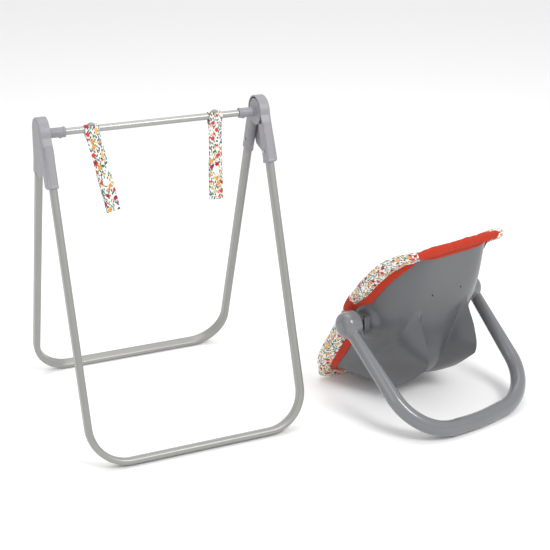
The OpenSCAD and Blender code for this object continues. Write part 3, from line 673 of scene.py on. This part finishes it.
def roll(name, source, first, last, grow, material, node, wrinkles, cap):
    """One length of the padded roll on the rim, creased at random and then blown up as cloth."""
    pick = np.arange(first, last + 1) % len(stations)
    rings = source[pick].copy()
    middle = rings.mean(1, keepdims=True)
    rings = middle + (rings - middle) * grow
    swell = np.zeros(len(rings))
    for _ in range(wrinkles):
        at, wide = rng.uniform(0, len(rings)), rng.uniform(0.7, 2.2)
        swell -= rng.uniform(0.4, 1.3) * np.exp(-((np.arange(len(rings)) - at) / wide) ** 2)
    outer = np.array([1 if 1 <= j < SOFT_POINTS else 0 for j in range(len(section))])
    push = (rings - middle) / np.linalg.norm(rings - middle, axis=-1, keepdims=True)
    rings += push * swell[:, None, None] * outer[None, :, None]
    run = around[first] + np.concatenate([[0], np.cumsum(ring_step[pick])])
    made = tube_mesh(name, to_row(rings), (run, across))
    held = [0] + list(range(SOFT_POINTS, len(section)))
    fixed = [i * len(section) + j for i in range(len(rings)) for j in held]
    drape(made, fixed, cap)
    with_modifiers(made, ("SUBSURF", {"levels": 1}))
    finish_piece(made, material, "carrier")
    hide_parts(node)


roll("flowered_band", cover, HEAD_LAST, len(stations) + HEAD_FIRST, 0.99, flower_fabric,
     "cover_band", 46, 0.006)
roll("red_head_roll", head_cover, HEAD_FIRST - 1, HEAD_LAST + 1, 0.95, red_fabric,
     "head_trim", 26, 0.005)

# the red elastic skirt: one gathered strip below the band, narrower at the pivots and along the head
SKIRT_ROWS, TUCK, ROW_UV = 9, 2.5, 0.002
count = len(stations)
low_w = edge_w + SKIRT_W * np.where(at_head, 0.4, 1 - 0.6 * cut)
f = np.linspace(0, 1, SKIRT_ROWS)
down = (edge_w - TUCK)[:, None] + (low_w - edge_w + TUCK)[:, None] * f
place = np.arange(count)
gather = 0.55 * np.sin(place * 1.9) + 0.45 * np.sin(place * 0.83 + 1) + 0.3 * np.sin(place * 2.7 + 2)
lift = 1.6 + 0.9 * np.sin(np.pi * f)[None, :] + gather[:, None] * (0.15 + 0.85 * f)[None, :] * 0.75
skirt_rings = soften(inset_points(stations, down, np.maximum(lift, 0.6)), 3)
faces, corners = [], []
for i in range(count):
    for j in range(SKIRT_ROWS - 1):
        here, there = i * SKIRT_ROWS + j, (i + 1) % count * SKIRT_ROWS + j
        faces.append((here, there, there + 1, here + 1))
        corners += [(around[i], j * ROW_UV), (around[i + 1], j * ROW_UV),
                    (around[i + 1], (j + 1) * ROW_UV), (around[i], (j + 1) * ROW_UV)]
skirt = mesh_object("elastic_skirt", to_row(skirt_rings).reshape(-1, 3), faces, corners)
with_modifiers(skirt, ("SUBSURF", {"levels": 1}))
finish_piece(skirt, red_fabric, "carrier")
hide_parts("cover_skirt")

# red binding that folds over the rim above each pivot, where the band is cut away
BINDING_T = 0.045
for side, sign in (("left", -1), ("right", 1)):
    which = [i for i, (t, v) in enumerate(stations) if v == sign and abs(t - PIVOT_T) < BINDING_T]
    rings = cover[which].copy()
    middle = rings.mean(1, keepdims=True)
    fade = np.sin(np.pi * np.linspace(0.04, 0.96, len(which)))[:, None, None] ** 0.4
    rings = middle + (rings - middle) * (0.9 + 0.26 * fade)
    binding = tube_mesh(f"pivot_binding_{side}", to_row(rings), (around[which[0]:which[-1] + 2], across))
    with_modifiers(binding, ("SUBSURF", {"levels": 1}))
    finish_piece(binding, red_fabric, "carrier")

# the seat pad: a red middle panel sewn between two flowered side panels
PAD_ROWS, PAD_NEAR, PAD_FAR = 70, -SHELL_T - 0.4, -SHELL_T - 6.0
for name, v0, v1, cloth, slot in (("pad_middle", -0.44, 0.44, red_fabric, "red_fabric"),
                                  ("pad_side_left", -0.94, -0.45, flower_fabric, "flower_fabric"),
                                  ("pad_side_right", 0.45, 0.94, flower_fabric, "flower_fabric")):
    cols = round((v1 - v0) * 52)
    pad = sheet_solid(name, 0.008, 0.985, v0, v1, PAD_NEAR, PAD_FAR, 0, PAD_ROWS, cols)
    back_points = list(range((PAD_ROWS + 1) * (cols + 1)))
    drape(pad, back_points, 0.007)
    with_modifiers(pad, ("SUBSURF", {"levels": 1}))
    finish_piece(pad, cloth, "carrier")
    if name == "pad_middle":
        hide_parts("seat_pad")

# ---------------------------------------------------------------- straps
# In mm from the crossbar's axis: y to the rear and z up, in the plane that a strap's path lies in.
STRAP_W, STRAP_T, WRAP_T, WRAP_R = 25.0, 2.2, 1.5, 7.3
FOLD_R, FOLD_Z, FLAP_TOP, LEAN = 3.0, -152.0, -81.0, 12.0
axis_z = bar_mid.z


def ribbon(name, path, thick, x0, lean):
    """A flat woven strap along a path of (y, z); below the bar it leans sideways by lean degrees."""
    path = np.array(path, float)
    way = np.gradient(path, axis=0)
    way /= np.linalg.norm(way, axis=1, keepdims=True)
    normal = np.stack([-way[:, 1], way[:, 0]], -1)
    u = np.concatenate([np.linspace(-1, 1, 15), np.linspace(1, -1, 15)])
    h = np.concatenate([np.ones(15), -np.ones(15)])
    h = h * np.sqrt(np.maximum(0, 1 - np.abs(u) ** 14)) * thick / 2
    h[[0, 14, 15, 29]] = np.array([1, 1, -1, -1]) * thick * 0.16
    x = u * STRAP_W / 2
    ripple = 0.12 * np.sin(path[:, 1] * 0.21) + 0.1 * np.sin(path[:, 1] * 0.09 + 1)
    pts = np.empty((len(path), len(u), 3))
    pts[..., 0] = x
    pts[..., 1] = path[:, None, 0] + normal[:, None, 0] * h + (ripple * 0.25)[:, None] * np.cos(u * 2)
    pts[..., 2] = path[:, None, 1] + normal[:, None, 1] * h
    ramp = np.clip((-pts[..., 2] - 3) / 13, 0, 1)
    angle = np.radians(lean) * ramp * ramp * (3 - 2 * ramp)
    turned = pts.copy()
    turned[..., 0] = pts[..., 0] * np.cos(angle) - pts[..., 2] * np.sin(angle)
    turned[..., 2] = pts[..., 0] * np.sin(angle) + pts[..., 2] * np.cos(angle)
    rows = turned * MM + np.array([x0, 0, axis_z])
    run = np.concatenate([[0], np.cumsum(np.linalg.norm(np.diff(path, axis=0), axis=1))]) * MM
    wide = np.concatenate([x, [x[0]]]) * MM
    return tube_mesh(name, rows, (run + x0 * 3.7, wide + 0.05))


for side, lean in (("left", LEAN), ("right", 0.0)):
    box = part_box(f"strap_collar_{side}")
    x0 = (box[0].x + box[1].x) / 2
    # up in front of the bar, over it and down behind it
    loop = [(-FOLD_R + 1.65, z) for z in (-27, -25, -23)]
    loop += [(-FOLD_R + 1.65 - 5.95 * (0.5 - 0.5 * math.cos(math.pi * f)), -23 + 22 * f)
             for f in np.linspace(0.08, 1, 12)]
    loop += [(WRAP_R * math.cos(a), WRAP_R * math.sin(a)) for a in np.linspace(math.pi, 0, 26)]
    loop += [(WRAP_R - 8.3 * (0.5 - 0.5 * math.cos(math.pi * f)), -1 - 22 * f)
             for f in np.linspace(0.0, 1, 12)]
    loop += [(-1.0, z) for z in (-25, -27)]
    wrap = ribbon(f"wrap_{side}", loop, WRAP_T, x0, lean)
    tail = [(-FOLD_R + STRAP_T / 2, z) for z in np.linspace(-24, FOLD_Z, 60)]
    tail += [(-(FOLD_R - STRAP_T / 2) * math.cos(a), FOLD_Z - (FOLD_R - STRAP_T / 2) * math.sin(a))
             for a in np.linspace(0, math.pi, 12)[1:]]
    hanging = ribbon(f"hang_{side}", tail, STRAP_T, x0, lean)
    strap = join(f"hanging_strap_{side}", [wrap, hanging])
    finish_piece(strap, flower_fabric)
    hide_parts(f"strap_{side}", f"strap_collar_{side}")
    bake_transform(strap)
    back = [(FOLD_R - STRAP_T / 2, z) for z in np.linspace(FOLD_Z + 0.3, FLAP_TOP, 44)]
    flap = ribbon(f"loop_flap_{side}", back, STRAP_T, x0, lean)
    finish_piece(flap, flower_fabric, f"flap_{side}")
    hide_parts(f"strap_flap_{side}")

# ---------------------------------------------------------------- floor, light and world
floor = mesh_object("floor", [(-6, -6, 0), (6, -6, 0), (6, 6, 0), (-6, 6, 0)], [(0, 1, 2, 3)])
ground = Nodes("floor")
ground.surface(Base_Color=rgba(0.93, 0.93, 0.93), Roughness=0.9)
floor.data.materials.append(ground.material)
world = bpy.data.worlds.new("world")
bpy.context.scene.world = world
world.use_nodes = True
world.node_tree.nodes["Background"].inputs[0].default_value = rgba(1, 1, 1)
world.node_tree.nodes["Background"].inputs[1].default_value = 0.88


def area_light(name, place, aim, size, power):
    data = bpy.data.lights.new(name, "AREA")
    data.shape = "SQUARE"
    data.size = size
    data.energy = power
    lamp = bpy.data.objects.new(name, data)
    lamp.location = place
    lamp.rotation_euler = (Vector(aim) - Vector(place)).to_track_quat("-Z", "Y").to_euler()
    bpy.context.scene.collection.objects.link(lamp)


area_light("key", (0.9, -2.1, 2.5), (0.1, 0, 0.25), 1.0, 44)
area_light("fill", (-2.2, -1.2, 1.6), (0.2, 0, 0.25), 1.4, 7)
area_light("top", (0.2, 0.6, 2.8), (0.2, 0, 0.2), 2.0, 20)
bpy.context.scene.view_settings.view_transform = "Standard"
bpy.context.scene.view_settings.look = "None"
